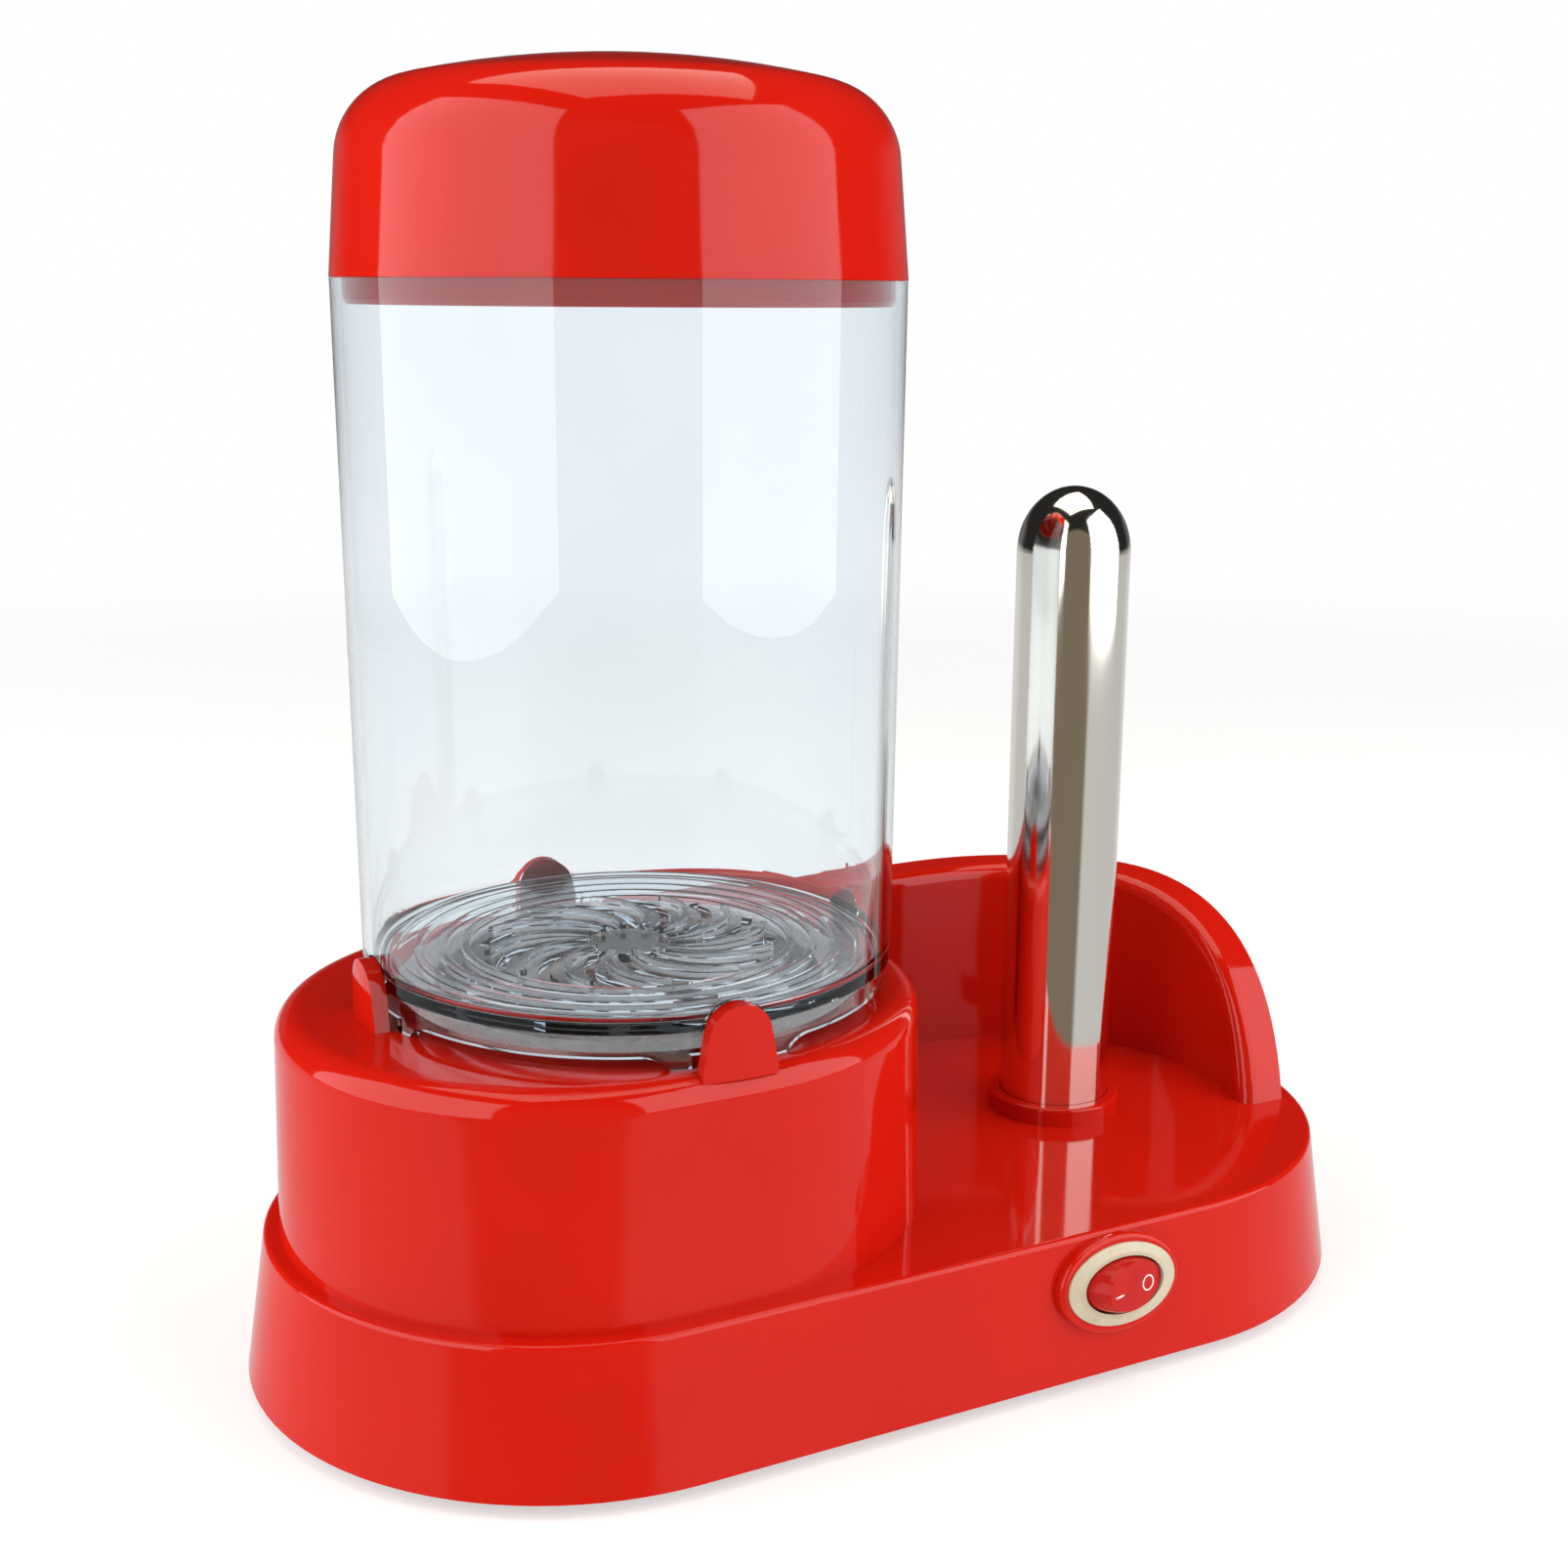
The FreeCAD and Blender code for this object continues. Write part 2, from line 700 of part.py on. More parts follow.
def hexagon_nut(x, y, z_low):
    corners = [polar(nut_radius, 60 * side, z_low) for side in range(7)]
    prism = Part.Face(Part.makePolygon(corners)).extrude(vec(0, 0, nut_height))
    bore = round_bar(stud_radius + nut_play, z_low - 1, z_low + nut_height + 1)
    return moved(prism.cut(bore), x, y, 0)


def dish_nuts():
    return Part.makeCompound([hexagon_nut(jar_x, y, strap_low - nut_height) for y in (-stud_reach, stud_reach)])


def blade(length, x, y, z_top):
    """Flat push-on tab that points down, with the small hole that the connector snaps into."""
    tab = centred_block(x, y, terminal_width, terminal_thickness, z_top - length, z_top)
    hole = Part.makeCylinder(0.8, 4 * terminal_thickness, vec(x, y - 2 * terminal_thickness, z_top - 0.6 * length),
                             vec(0, 1, 0))
    return tab.cut(hole)


def thermostat():
    x = jar_x + thermostat_offset
    low = spreader_low - thermostat_height
    cap = round_bar(thermostat_cap_radius, spreader_low - thermostat_cap_height, spreader_low, x)
    cap = rounded(cap, 0.8, at_height(spreader_low - thermostat_cap_height))
    body = round_bar(thermostat_body_radius, low, spreader_low - thermostat_cap_height + 0.5, x)
    tabs_down = [blade(terminal_length, x, y, low + 0.5) for y in (-4, 4)]
    return fused([cap, body] + tabs_down)


def thermal_fuse():
    x = jar_x + fuse_offset
    z = spreader_low - fuse_radius
    body = Part.makeCylinder(fuse_radius, fuse_length, vec(x, -fuse_length / 2, z), vec(0, 1, 0))
    span = fuse_length + 2 * fuse_pin_length
    pin = Part.makeCylinder(fuse_pin_radius, span, vec(x, -span / 2, z), vec(0, 1, 0))
    return fused([body, pin])


def fuse_clip():
    """Spring strip bent round the fuse, with a flat foot on each side against the spreader."""
    x = jar_x + fuse_offset
    z = spreader_low - fuse_radius
    inner = fuse_radius + 0.05
    outer = inner + clip_thickness
    loop = Part.makeCylinder(outer, clip_width, vec(x, -clip_width / 2, z), vec(0, 1, 0))
    below = block(x - outer, x + outer, -clip_width, clip_width, z - 2 * outer, z)
    sides = block(x - outer, x + outer, -clip_width / 2, clip_width / 2, z, spreader_low)
    feet = block(x - outer - clip_foot_length, x + outer + clip_foot_length, -clip_width / 2, clip_width / 2,
                 spreader_low - clip_thickness, spreader_low)
    clip = fused([loop.common(below), sides, feet])
    clip = clip.cut(Part.makeCylinder(inner, 2 * clip_width, vec(x, -clip_width, z), vec(0, 1, 0)))
    return clip.cut(block(x - inner, x + inner, -clip_width, clip_width, z, spreader_low + 1))


def spike_arc(radius, tip):
    """Quarter ellipse from the tip of the spike to the top of its straight side."""
    shoulder = spike_top - spike_tip_height
    ellipse = Part.Ellipse(vec(0, 0, tip), vec(radius, 0, shoulder), vec(0, 0, shoulder))
    return Part.ArcOfEllipse(ellipse, 0, math.pi / 2).toShape()


def heating_spike():
    """Drawn steel tube with a closed tip above and a turned-out flange below."""
    inner = spike_radius - spike_wall
    shoulder = spike_top - spike_tip_height
    flange_top = clamp_plate_high + spike_wall
    edges = [spike_arc(spike_radius, spike_top),
             line((spike_radius, shoulder), (spike_radius, flange_top)),
             line((spike_radius, flange_top), (spike_flange_radius, flange_top)),
             line((spike_flange_radius, flange_top), (spike_flange_radius, clamp_plate_high)),
             line((spike_flange_radius, clamp_plate_high), (inner, clamp_plate_high)),
             line((inner, clamp_plate_high), (inner, shoulder)),
             spike_arc(inner, spike_top - spike_wall),
             line((0, spike_top - spike_wall), (0, spike_top))]
    return turned_edges(Part.__sortEdges__(edges), spike_x)


def spike_seal():
    low = clamp_plate_high + spike_wall
    return ring(spike_flange_radius, spike_radius + collar_gap, low, collar_boss_low, spike_x)


def spike_clamp_plate():
    plate = centred_block(spike_x, 0, clamp_plate_length, clamp_plate_width, clamp_plate_low, clamp_plate_high)
    plate = rounded(plate, clamp_plate_corner, lambda edge: edge.BoundBox.ZLength > 1)
    plate = plate.cut(round_bar(clamp_plate_hole, clamp_plate_low - 1, clamp_plate_high + 1, spike_x))
    for x, y in clamp_screw_places:
        plate = plate.cut(round_bar(screw_radius + 0.3, clamp_plate_low - 1, clamp_plate_high + 1, x, y))
    return plate


def spike_clamp_screws():
    screws = [screw(x, y, clamp_plate_low, clamp_screw_length, 1) for x, y in clamp_screw_places]
    return Part.makeCompound(screws)


def spike_heater():
    """Ceramic core with spaced discs that centre it in the spike."""
    core = [round_bar(core_radius, clamp_plate_high, clamp_plate_high + core_length, spike_x)]
    pitch = (core_length - core_disc_thickness) / (core_disc_count - 1)
    for row in range(core_disc_count):
        low = clamp_plate_high + row * pitch
        core.append(round_bar(core_disc_radius, low, low + core_disc_thickness, spike_x))
    return fused(core)


def switch_housing():
    """Oval body with its bezel, a deep pocket for the rocker and two snap latches."""
    body = oval(switch_body_length, switch_body_width, -switch_body_depth, bezel_edge)
    flange = oval(bezel_length, bezel_width, 0, bezel_edge)
    low_edge = Part.Wire([Part.Ellipse(vec(0, 0, bezel_edge), bezel_length, bezel_width).toShape()])
    rim_edge = Part.Wire([Part.Ellipse(vec(0, 0, bezel_rise), bezel_rim_length, bezel_rim_width).toShape()])
    dome = Part.makeLoft([low_edge, rim_edge], True, True)
    latch_top = -switch_proud - wall - 0.2
    latches = centred_block(0, 0, 2 * (switch_body_length + switch_latch_reach), switch_latch_width,
                            latch_top - switch_latch_length, latch_top)
    body = fused([body, flange, dome, latches])
    body = body.cut(oval(switch_pocket_length, switch_pocket_width, -switch_pocket_depth, 0.2))
    body = body.cut(oval(opening_length, opening_width, -1, bezel_rise + 1))
    bearing = Part.makeCylinder(trunnion_radius + trunnion_play, 2 * switch_body_width,
                                vec(0, -switch_body_width, -rocker_pivot_depth), vec(0, 1, 0))
    return at_switch(body.cut(bearing))


def switch_rocker():
    """Rocker turned about its pin: a spheroid cut flat on top, tilted to its rest position."""
    ball = Part.makeSphere(1.0)
    stretch = FreeCAD.Matrix()
    stretch.scale(vec(rocker_reach, rocker_half_width, rocker_reach))
    solid = ball.transformGeometry(stretch)
    solid = solid.common(block(-rocker_reach, rocker_reach, -rocker_reach, rocker_reach, -rocker_depth,
                               rocker_face_height))
    pin = Part.makeCylinder(trunnion_radius, 2 * trunnion_reach, vec(0, -trunnion_reach, 0), vec(0, 1, 0))
    solid = fused([solid, pin])
    solid.rotate(vec(0, 0, 0), vec(0, 1, 0), rocker_rest_tilt)
    return at_switch(moved(solid, 0, 0, -rocker_pivot_depth))


def switch_terminals():
    blades = [blade(terminal_length, x, 0, 0) for x in (-terminal_pitch / 2, terminal_pitch / 2)]
    group = moved(Part.makeCompound(blades), 0, 0, -switch_body_depth)
    return at_switch(group)


def cord_gland():
    """Snap-in bush for the cord: outer flange, sleeve through the wall and a barb behind it."""
    barb_low = -wall - gland_play - gland_barb_length
    barb_radius = gland_radius + gland_barb
    shape = [(cord_hole_radius, gland_flange), (gland_flange_radius - 0.6, gland_flange),
             (gland_flange_radius, gland_flange - 0.6), (gland_flange_radius, 0.1), (gland_radius, 0.1),
             (gland_radius, -wall - gland_play), (barb_radius, -wall - gland_play),
             (gland_radius, barb_low), (gland_radius, -gland_length), (cord_hole_radius, -gland_length)]
    return on_back_wall(turned(shape), inlet_x, inlet_height, 0.0)


def cord_clamp_bar():
    top = clamp_bar_low + clamp_bar_thickness
    bar = centred_block(inlet_x, saddle_y, clamp_bar_length, clamp_bar_width, clamp_bar_low, top)
    bar = rounded(bar, 0.8, at_height(top))
    for x, y in saddle_screw_places:
        bar = bar.cut(round_bar(screw_radius + 0.3, clamp_bar_low - 1, top + 1, x, y))
    return bar


def cord_clamp_screws():
    top = clamp_bar_low + clamp_bar_thickness
    return Part.makeCompound([screw(x, y, top, screw_length, -1) for x, y in saddle_screw_places])


def terminal_block():
    top = plate_high + block_height
    body = centred_block(block_x, block_y, block_length, block_width, plate_high, top)
    body = rounded(body, 0.8, at_height(top))
    pitch = block_length / block_ways
    for way in range(block_ways):
        x = block_x + (way - (block_ways - 1) / 2) * pitch
        middle = plate_high + block_height / 2
        body = body.cut(Part.makeCylinder(block_bore_radius, 2 * block_width, vec(x, block_y - block_width, middle),
                                          vec(0, 1, 0)))
        for y in (block_y - block_width / 4, block_y + block_width / 4):
            body = body.cut(round_bar(block_screw_hole, middle, top + 1, x, y))
    return body


def lead(points):
    """Round lead along straight runs, each corner turned by an arc as large as its shorter run allows."""
    runs = []
    start = points[0]
    for before, corner, after in zip(points, points[1:], points[2:]):
        way_in = (corner - before).normalize()
        way_out = (after - corner).normalize()
        half_turn = way_in.getAngle(way_out) / 2
        reach = 0.45 * min((corner - before).Length, (after - corner).Length)
        radius = reach / math.tan(half_turn)
        towards_centre = (way_out - way_in).normalize()
        middle = corner + towards_centre * (radius / math.cos(half_turn) - radius)
        arc_start, arc_end = corner - way_in * reach, corner + way_out * reach
        runs += [Part.LineSegment(start, arc_start).toShape(), Part.Arc(arc_start, middle, arc_end).toShape()]
        start = arc_end
    runs.append(Part.LineSegment(start, points[-1]).toShape())
    section = Part.Wire([Part.makeCircle(lead_radius, points[0], points[1] - points[0])])
    return Part.Wire(runs).makePipeShell([section], True, False)


def way_entry(way):
    """Two points of a lead's straight end: in front of the terminal block and inside one of its ways."""
    x = block_x + (way - (block_ways - 1) / 2) * block_length / block_ways
    z = plate_high + cradle_height + lead_radius + lead_play
    end = vec(x, block_y - block_width / 2 + lead_insert, z)
    return [end - vec(0, lead_straight, 0), end]


def tab_entry(x):
    """Two points of a lead's straight end at the tip of a switch tab."""
    tip = -switch_body_depth - terminal_length
    return [at_switch(Part.Vertex(vec(x, 0, z))).Point for z in (tip - lead_straight, tip)]


def live_lead():
    near_block, in_block = way_entry(1)
    ahead = near_block - vec(0, 8, 0)
    return lead([in_block, ahead, vec(29, -20, 12)] + tab_entry(-terminal_pitch / 2))


def thermostat_lead():
    low = plate_high + lead_radius + lead_play
    tab_foot = vec(jar_x + thermostat_offset, -4, spreader_low - thermostat_height + 0.5 - terminal_length)
    along_plate = [vec(33, -23, low), vec(12, -14, low), vec(-18, -17, low), vec(-48, -9, low)]
    rise = [vec(tab_foot.x, tab_foot.y, low + 15), tab_foot]
    return lead(tab_entry(terminal_pitch / 2 - lead_pair_offset)[::-1] + along_plate + rise)


def fuse_end(side):
    """Two points of a lead's straight end at one pin of the thermal fuse."""
    x, z = jar_x + fuse_offset, spreader_low - fuse_radius
    tip = fuse_length / 2 + fuse_pin_length
    return [vec(x, side * tip, z), vec(x, side * (tip + fuse_lead_reach), z)]


def heater_pin_tip(side):
    """Tip of one of the dish heater's pins."""
    leg = polar(heater_loop_radius, side * heater_gap_angle / 2, 0)
    leg += polar(heater_bend_radius, side * (heater_gap_angle / 2 - 90), 0)
    return vec(jar_x + leg.x, leg.y, heater_z - heater_bend_radius - heater_leg_length - heater_pin_length)


def fuse_lead_back():
    tab_foot = vec(jar_x + thermostat_offset, 4, spreader_low - thermostat_height + 0.5 - terminal_length)
    fuse_tip, beside_fuse = fuse_end(1)
    droop = [tab_foot - vec(0, 0, 9), vec(-54, 8, 36), vec(-42, 14, 37), beside_fuse - vec(0, 0, 19)]
    return lead([tab_foot] + droop + [beside_fuse, fuse_tip])


def fuse_lead_front():
    fuse_tip, beside_fuse = fuse_end(-1)
    pin = heater_pin_tip(-1)
    droop = [beside_fuse - vec(0, 0, 24), vec(-27.5, -11.5, 26), pin - vec(0, 0, 13)]
    return lead([fuse_tip, beside_fuse] + droop + [pin])


def dish_return_lead():
    pin = heater_pin_tip(1)
    droop = [pin - vec(0, 0, 23), vec(-14, 3, 8.5), vec(-2, -2, 7.3), vec(9.5, -3.5, 8.2)]
    return lead([pin] + droop + way_entry(0))


def spike_feed_lead():
    core = vec(spike_x, -core_lead_offset, clamp_plate_high)
    bend = [vec(52, -20, 9.5), core + vec(-3.6, -5, -14), core - vec(0, 0, 8.7), core]
    return lead(tab_entry(terminal_pitch / 2 + lead_pair_offset)[::-1] + bend)


def spike_return_lead():
    core = vec(spike_x, core_lead_offset, clamp_plate_high)
    bend = [core - vec(0, 0, 8.7), core + vec(-4.6, -1.5, -13.7), vec(50, -2, 8), vec(38.5, -2, 8.8)]
    return lead([core] + bend + way_entry(2))


def swirl_bar(width, z_low, z_high):
    """Curved bar across the jar's floor, from the inner to the outer slot radius."""
    start = polar(slot_inner_radius, 0, z_low)
    through = polar((slot_inner_radius + slot_outer_radius) / 2, slot_sweep / 3, z_low)
    end = polar(slot_outer_radius, slot_sweep, z_low)
    centre = Part.Arc(start, through, end).toShape().Curve.Center
    radius = (start - centre).Length

    def offset(point, distance):
        return centre + (point - centre) * ((radius + distance) / radius)
    near = [offset(point, -width / 2) for point in (start, through, end)]
    far = [offset(point, width / 2) for point in (start, through, end)]
    outline = [Part.Arc(*near).toShape(), Part.makeLine(near[2], far[2]), Part.Arc(*far[::-1]).toShape(),
               Part.makeLine(far[0], near[0])]
    return Part.Face(Part.Wire(outline)).extrude(vec(0, 0, z_high - z_low))


def swirl(bar, offset):
    step = 360.0 / slot_count
    return [moved(turned_by(bar, (index + offset) * step), jar_x, 0, 0) for index in range(slot_count)]


def jar_ears():
    """Feet beside each tab, on which the jar stands; they blend into the skirt's edge."""
    inner_edge = tab_foot_width / 2 + tab_play
    flat_edge = inner_edge + ear_width
    top = jar_skirt_low + 1
    band = ring(jar_skirt_radius, jar_skirt_radius - jar_wall, ear_low - 1, top)
    ears = []
    for side in (-1, 1):
        corners = [vec(0, side * y, z) for y, z in (
            (flat_edge + ear_blend, jar_skirt_low), (flat_edge + ear_blend, top), (inner_edge, top),
            (inner_edge, ear_low), (flat_edge, ear_low))]
        hollow = vec(0, side * (flat_edge + 0.35 * ear_blend), ear_low + 0.7 * ear_height)
        sides = [Part.makeLine(corners[index], corners[index + 1]) for index in range(4)]
        blend = Part.Arc(corners[4], hollow, corners[0]).toShape()
        prism = Part.Face(Part.Wire(sides + [blend])).extrude(vec(2 * jar_skirt_radius, 0, 0))
        ears.append(prism.common(band))
    return ears


def jar_body():
    """Turned form of the jar: tapered wall, bead, skirt, floor and a rounded inner corner."""
    skirt_inner = jar_skirt_radius - jar_wall
    inner_low = jar_foot_radius - jar_wall
    bend = (inner_low - jar_corner_radius, jar_floor_top + jar_corner_radius)
    chamfer_low = jar_bead - jar_bead_chamfer
    edges = [line((0, jar_floor_low), (skirt_inner, jar_floor_low)),
             line((skirt_inner, jar_floor_low), (skirt_inner, jar_skirt_low)),
             line((skirt_inner, jar_skirt_low), (jar_skirt_radius, jar_skirt_low)),
             line((jar_skirt_radius, jar_skirt_low), (jar_skirt_radius, chamfer_low)),
             line((jar_skirt_radius, chamfer_low), (jar_foot_radius, jar_bead)),
             line((jar_foot_radius, jar_bead), (jar_rim_radius, jar_top)),
             line((jar_rim_radius, jar_top), (jar_rim_radius - jar_wall, jar_top)),
             line((jar_rim_radius - jar_wall, jar_top), (inner_low, bend[1])),
             corner_arc(bend, jar_corner_radius, 0, -90),
             line((bend[0], jar_floor_top), (0, jar_floor_top)),
             line((0, jar_floor_top), (0, jar_floor_low))]
    return turned_edges(edges, jar_x)


def sausage_jar():
    rib_top = jar_floor_top + floor_rib_height
    ribs = swirl(swirl_bar(floor_rib_width, jar_floor_top - 0.5, rib_top), 0.5)
    for row in range(ring_rib_count):
        middle = ring_rib_outer - row * ring_rib_pitch
        ribs.append(ring(middle + floor_rib_width / 2, middle - floor_rib_width / 2, jar_floor_top - 0.5,
                         rib_top, jar_x))
    jar = fused([jar_body()] + ribs)
    for ear in jar_ears():
        jar = fused([jar] + at_tabs(ear))
    recess_radius = tab_outer_radius - tab_thickness - tab_play
    recess = tab_face(tab_play, drum_under, 0).extrude(vec(2 * jar_rim_radius, 0, 0))
    recess = recess.cut(round_bar(recess_radius, 0, jar_top))
    slots = swirl(swirl_bar(slot_width, jar_floor_low - 1, rib_top + 1), 0.0)
    for cutter in at_tabs(recess) + slots:
        jar = jar.cut(cutter)
    return jar


def lid_outline(inset):
    """Foot, three points of the corner, one of the crown and the top, all drawn in by the inset."""
    tilt = math.radians(lid_draft_angle)
    normal = (math.cos(tilt), math.sin(tilt))
    along = (-math.sin(tilt), math.cos(tilt))
    crown_z = lid_low + lid_height - lid_crown_radius
    # The corner's centre lies one corner radius inside both the side and the crown.
    start = (lid_rim_radius - lid_corner_radius * normal[0], lid_low - lid_corner_radius * normal[1])
    b = start[0] * along[0] + (start[1] - crown_z) * along[1]
    c = start[0] ** 2 + (start[1] - crown_z) ** 2 - (lid_crown_radius - lid_corner_radius) ** 2
    step = math.sqrt(b * b - c) - b
    centre = (start[0] + along[0] * step, start[1] + along[1] * step)
    radius = lid_corner_radius - inset
    crown = lid_crown_radius - inset
    lean = math.degrees(math.atan2(centre[1] - crown_z, centre[0]))

    def on_corner(degrees):
        angle = math.radians(degrees)
        return (centre[0] + radius * math.cos(angle), centre[1] + radius * math.sin(angle))

    def on_crown(degrees):
        angle = math.radians(degrees)
        return (crown * math.cos(angle), crown_z + crown * math.sin(angle))
    side_top = on_corner(lid_draft_angle)
    foot = (side_top[0] + (side_top[1] - lid_low) * math.tan(tilt), lid_low)
    return (foot, side_top, on_corner((lid_draft_angle + lean) / 2), on_corner(lean),
            on_crown((lean + 90) / 2), (0, crown_z + crown))


def jar_lid():
    """Domed cover of even wall with a plug ring that drops into the jar's mouth."""
    foot, side_top, corner, crown_foot, crown, top = lid_outline(0.0)
    in_foot, in_side_top, in_corner, in_crown_foot, in_crown, in_top = lid_outline(lid_wall)
    plug_outer = jar_rim_radius - jar_wall - lid_fit
    plug_inner = plug_outer - lid_plug_wall
    plug_low = lid_low - lid_plug_depth
    shelf = lid_low + lid_shelf
    side_at_shelf = (in_foot[0] - lid_shelf * math.tan(math.radians(lid_draft_angle)), shelf)
    edges = [line(foot, side_top), arc(side_top, corner, crown_foot), arc(crown_foot, crown, top),
             line(top, in_top), arc(in_top, in_crown, in_crown_foot), arc(in_crown_foot, in_corner, in_side_top),
             line(in_side_top, side_at_shelf), line(side_at_shelf, (plug_inner, shelf)),
             line((plug_inner, shelf), (plug_inner, plug_low)),
             line((plug_inner, plug_low), (plug_outer - 0.5, plug_low)),
             line((plug_outer - 0.5, plug_low), (plug_outer, plug_low + 1)),
             line((plug_outer, plug_low + 1), (plug_outer, lid_low)),
             line((plug_outer, lid_low), foot)]
    return turned_edges(edges, jar_x)


sub_parts = {
    "main_housing": main_housing,
    "bottom_plate": bottom_plate,
    "base_screws": base_screws,
    "water_dish": water_dish,
    "dish_gasket": dish_gasket,
    "heat_spreader": heat_spreader,
    "dish_heater": dish_heater,
    "dish_strap": dish_strap,
    "dish_nuts": dish_nuts,
    "thermostat": thermostat,
    "thermal_fuse": thermal_fuse,
    "fuse_clip": fuse_clip,
    "heating_spike": heating_spike,
    "spike_seal": spike_seal,
    "spike_clamp_plate": spike_clamp_plate,
    "spike_clamp_screws": spike_clamp_screws,
    "spike_heater": spike_heater,
    "switch_housing": switch_housing,
    "switch_rocker": switch_rocker,
    "switch_terminals": switch_terminals,
    "cord_gland": cord_gland,
    "cord_clamp_bar": cord_clamp_bar,
    "cord_clamp_screws": cord_clamp_screws,
    "terminal_block": terminal_block,
    "live_lead": live_lead,
    "thermostat_lead": thermostat_lead,
    "fuse_lead_back": fuse_lead_back,
    "fuse_lead_front": fuse_lead_front,
    "dish_return_lead": dish_return_lead,
    "spike_feed_lead": spike_feed_lead,
    "spike_return_lead": spike_return_lead,
    "sausage_jar": sausage_jar,
    "jar_lid": jar_lid,
}

os.makedirs("parts", exist_ok=True)
for name, make in sub_parts.items():
    make().exportStep("parts/" + name + ".step")
for x, y in foot_places():
    name = "foot_" + ("front" if y < 0 else "back") + ("_left" if x < 0 else "_right")
    rubber_foot(x, y).exportStep("parts/" + name + ".step")
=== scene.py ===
import bmesh
import bpy
import json
import math
from mathutils import Matrix, Vector


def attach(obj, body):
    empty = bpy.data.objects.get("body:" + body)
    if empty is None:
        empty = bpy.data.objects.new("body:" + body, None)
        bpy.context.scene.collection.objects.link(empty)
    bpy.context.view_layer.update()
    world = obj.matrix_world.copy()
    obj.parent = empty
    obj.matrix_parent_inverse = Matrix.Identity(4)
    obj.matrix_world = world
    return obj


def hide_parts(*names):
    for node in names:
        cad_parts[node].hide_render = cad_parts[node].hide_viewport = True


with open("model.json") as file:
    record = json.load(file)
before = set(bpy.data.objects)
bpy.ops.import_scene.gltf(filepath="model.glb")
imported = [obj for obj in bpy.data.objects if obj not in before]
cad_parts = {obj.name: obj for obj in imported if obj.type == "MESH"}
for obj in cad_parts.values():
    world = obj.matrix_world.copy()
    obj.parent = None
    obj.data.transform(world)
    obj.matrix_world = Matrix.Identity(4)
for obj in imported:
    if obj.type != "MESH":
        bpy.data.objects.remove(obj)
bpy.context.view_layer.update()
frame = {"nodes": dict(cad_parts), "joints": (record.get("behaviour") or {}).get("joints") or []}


# Base moulding with the drum and the arched guard: one polished red moulding of ABS, thin-walled,
# with the tabs that hold the jar. Its gloss is even, with the faint ripple that a cooled moulding has.
tint_spread = (0.35, 0.65)
gloss_spread = (0.3, 0.7)


def finish(name, shades, patch, gloss, grain, depth, stretch=(1.0, 1.0, 1.0), **sockets):
    """A surface of two close shades with uneven gloss and a fine grain, all sized in metres."""
    material = bpy.data.materials.new(name)
    material.use_nodes = True
    nodes = material.node_tree.nodes
    links = material.node_tree.links
    shader = nodes["Principled BSDF"]
    place = nodes.new("ShaderNodeTexCoord")
    scaled = nodes.new("ShaderNodeMapping")
    scaled.inputs["Scale"].default_value = stretch
    links.new(place.outputs["Object"], scaled.inputs["Vector"])

    def cloud(size, detail):
        """Soft random patches of one size."""
        texture = nodes.new("ShaderNodeTexNoise")
        texture.inputs["Scale"].default_value = 1.0 / size
        texture.inputs["Detail"].default_value = detail
        links.new(scaled.outputs["Vector"], texture.inputs["Vector"])
        return texture.outputs["Fac"]

    tint = nodes.new("ShaderNodeValToRGB")
    for stop, position, shade in zip(tint.color_ramp.elements, tint_spread, shades):
        stop.position = position
        stop.color = (*shade, 1.0)
    links.new(cloud(patch, 3.0), tint.inputs["Fac"])
    links.new(tint.outputs["Color"], shader.inputs["Base Color"])
    sheen = nodes.new("ShaderNodeMapRange")
    sheen.inputs["From Min"].default_value = gloss_spread[0]
    sheen.inputs["From Max"].default_value = gloss_spread[1]
    sheen.inputs["To Min"].default_value = gloss[0]
    sheen.inputs["To Max"].default_value = gloss[1]
    links.new(cloud(patch / 3.0, 4.0), sheen.inputs["Value"])
    links.new(sheen.outputs["Result"], shader.inputs["Roughness"])
    relief = nodes.new("ShaderNodeBump")
    relief.inputs["Strength"].default_value = 1.0
    relief.inputs["Distance"].default_value = depth
    links.new(cloud(grain, 2.0), relief.inputs["Height"])
    links.new(relief.outputs["Normal"], shader.inputs["Normal"])
    for socket, value in sockets.items():
        shader.inputs[socket.replace("_", " ")].default_value = value
    return material


def dress(node, material):
    """Gives a CAD piece its finish."""
    for slot in frame["nodes"][node].material_slots:
        slot.material = material


def red_moulding(name):
    """The glossy red of the base and the lid."""
    return finish(name, ((0.55, 0.0085, 0.0026), (0.59, 0.0105, 0.0034)), 0.05, (0.05, 0.09),
                  0.006, 0.000012, Specular_IOR_Level=0.36)


dress("main_housing", red_moulding("housing red"))


# Bottom plate: black moulding that closes the base from below, with a fine spark-eroded grain,
# vent slots and cups for its screws.
dress("bottom_plate", finish("plate black", ((0.018, 0.018, 0.019), (0.026, 0.026, 0.027)), 0.03,
                             (0.42, 0.55), 0.0006, 0.00003))


# Rubber feet: four soft black feet, a little dusty on their sides. The neck of each is pushed
# through a hole in the bottom plate.
foot_rubber = finish("foot rubber", ((0.010, 0.010, 0.010), (0.022, 0.021, 0.020)), 0.006,
                     (0.6, 0.78), 0.0008, 0.00003)
for foot in ("foot_front_left", "foot_back_left", "foot_front_right", "foot_back_right"):
    dress(foot, foot_rubber)


